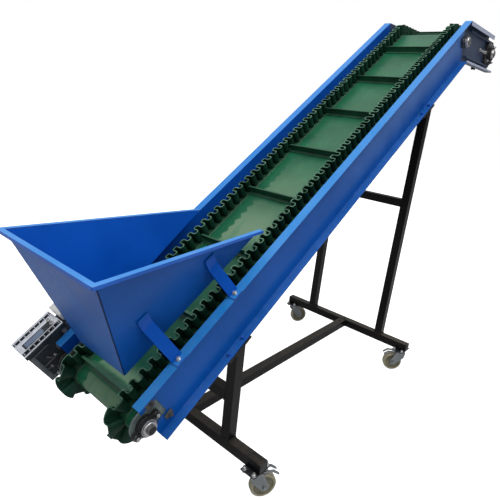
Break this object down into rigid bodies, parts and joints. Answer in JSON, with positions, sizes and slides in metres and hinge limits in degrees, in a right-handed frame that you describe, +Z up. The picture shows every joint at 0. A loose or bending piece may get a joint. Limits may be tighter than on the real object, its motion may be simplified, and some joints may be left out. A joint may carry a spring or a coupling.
{
  "type": "portable inclined belt conveyor",
  "caption": "Low wheeled conveyor: an inclined cleated belt with corrugated sidewalls runs from a loading hopper up to a short level discharge end, on a square tube stand with swivel casters",
  "frame": {"origin": "on the floor, under the middle of the overall length and width", "axes": "+X toward the discharge end, +Y toward the drive side, +Z up"},
  "size_m": [2.7006, 0.8233, 1.8461],
  "materials": {
    "rail_near": "blue paint, rubbed and dusty",
    "rail_far": "blue paint, rubbed and dusty",
    "head_frame_near": "bare zinc-coated sheet",
    "head_frame_far": "bare zinc-coated sheet",
    "cross_ties": "black paint",
    "bed_plate": "plain sheet polished by the belt",
    "belt": "green belt with pale dust",
    "belt_cleats": "dark green, dusty edges",
    "sidewall_near": "dark green corrugated edge",
    "sidewall_far": "dark green corrugated edge",
    "tail_drum": "turned steel",
    "knee_drum": "turned steel",
    "head_drum": "turned steel",
    "return_rollers": "black plastic stub rollers",
    "tail_plates": "zinc-coated plate with rust at the edges",
    "tail_bearing": "dark painted casting",
    "knee_bearings": "dark casting with bright insert",
    "head_bearings": "dark painted casting",
    "hopper_front": "blue paint, dusty",
    "hopper_side_near": "blue paint",
    "hopper_side_far": "blue paint",
    "hopper_rim": "blue paint, worn along the edge",
    "brace_near": "blue paint",
    "brace_far": "blue paint",
    "gearbox": "die-cast, lightly corroded",
    "gear_flange": "dark painted casting",
    "motor": "grey ribbed casting",
    "fan_cover": "black pressed sheet",
    "terminal_box": "light grey paint",
    "front_base_bar": "black paint, dusty top faces",
    "rear_base_bar": "black paint, dusty top faces",
    "front_posts": "black paint",
    "rear_posts": "black paint",
    "front_crossbar": "black paint",
    "rear_crossbar": "black paint",
    "long_bar": "black paint, dusty top face",
    "post_plates": "black paint",
    "caster_plates": "zinc plated",
    "fork_front_near": "zinc plated",
    "fork_front_far": "zinc plated",
    "fork_rear_near": "zinc plated",
    "fork_rear_far": "zinc plated",
    "wheel_front_near": "cream plastic, scuffed",
    "wheel_front_far": "cream plastic, scuffed",
    "wheel_rear_near": "cream plastic, scuffed",
    "wheel_rear_far": "cream plastic, scuffed"
  },
  "bodies": {
    "frame": {"rail_near": "rail_near", "rail_far": "rail_far", "head_frame_near": "head_frame_near", "head_frame_far": "head_frame_far", "cross_ties": "cross_ties", "bed_plate": "bed_plate", "belt": "belt", "belt_cleats": "belt_cleats", "sidewall_near": "sidewall_near", "sidewall_far": "sidewall_far", "tail_drum": "tail_drum", "knee_drum": "knee_drum", "head_drum": "head_drum", "return_rollers": "return_rollers", "tail_plates": "tail_plates", "tail_bearing": "tail_bearing", "knee_bearings": "knee_bearings", "head_bearings": "head_bearings", "hopper_front": "hopper_front", "hopper_side_near": "hopper_side_near", "hopper_side_far": "hopper_side_far", "hopper_rim": "hopper_rim", "brace_near": "brace_near", "brace_far": "brace_far", "gearbox": "gearbox", "gear_flange": "gear_flange", "motor": "motor", "fan_cover": "fan_cover", "terminal_box": "terminal_box", "front_base_bar": "front_base_bar", "rear_base_bar": "rear_base_bar", "front_posts": "front_posts", "rear_posts": "rear_posts", "front_crossbar": "front_crossbar", "rear_crossbar": "rear_crossbar", "long_bar": "long_bar", "post_plates": "post_plates", "caster_plates": "caster_plates"},
    "swivel_front_near": {"fork_front_near": "fork_front_near"},
    "roller_front_near": {"wheel_front_near": "wheel_front_near"},
    "swivel_front_far": {"fork_front_far": "fork_front_far"},
    "roller_front_far": {"wheel_front_far": "wheel_front_far"},
    "swivel_rear_near": {"fork_rear_near": "fork_rear_near"},
    "roller_rear_near": {"wheel_rear_near": "wheel_rear_near"},
    "swivel_rear_far": {"fork_rear_far": "fork_rear_far"},
    "roller_rear_far": {"wheel_rear_far": "wheel_rear_far"}
  },
  "joints": [
    {"name": "swivel_front_near", "type": "hinge", "parent": "frame", "child": "swivel_front_near", "pos_m": [-0.78834, -0.365, 0.12], "axis": [0, 0, 1], "continuous": true},
    {"name": "roll_front_near", "type": "hinge", "parent": "swivel_front_near", "child": "roller_front_near", "pos_m": [-0.7589, -0.382, 0.05], "axis": [0.5, 0.866, 0], "continuous": true},
    {"name": "swivel_front_far", "type": "hinge", "parent": "frame", "child": "swivel_front_far", "pos_m": [-0.78834, 0.365, 0.12], "axis": [0, 0, 1], "continuous": true},
    {"name": "roll_front_far", "type": "hinge", "parent": "swivel_front_far", "child": "roller_front_far", "pos_m": [-0.81779, 0.348, 0.05], "axis": [0.5, -0.866, 0], "continuous": true},
    {"name": "swivel_rear_near", "type": "hinge", "parent": "frame", "child": "swivel_rear_near", "pos_m": [0.45665, -0.365, 0.12], "axis": [0, 0, 1], "continuous": true},
    {"name": "roll_rear_near", "type": "hinge", "parent": "swivel_rear_near", "child": "roller_rear_near", "pos_m": [0.43572, -0.33821, 0.05], "axis": [-0.788, -0.6157, 0], "continuous": true},
    {"name": "swivel_rear_far", "type": "hinge", "parent": "frame", "child": "swivel_rear_far", "pos_m": [0.45665, 0.365, 0.12], "axis": [0, 0, 1], "continuous": true},
    {"name": "roll_rear_far", "type": "hinge", "parent": "swivel_rear_far", "child": "roller_rear_far", "pos_m": [0.48451, 0.3455, 0.05], "axis": [0.5736, 0.8192, 0], "continuous": true}
  ]
}
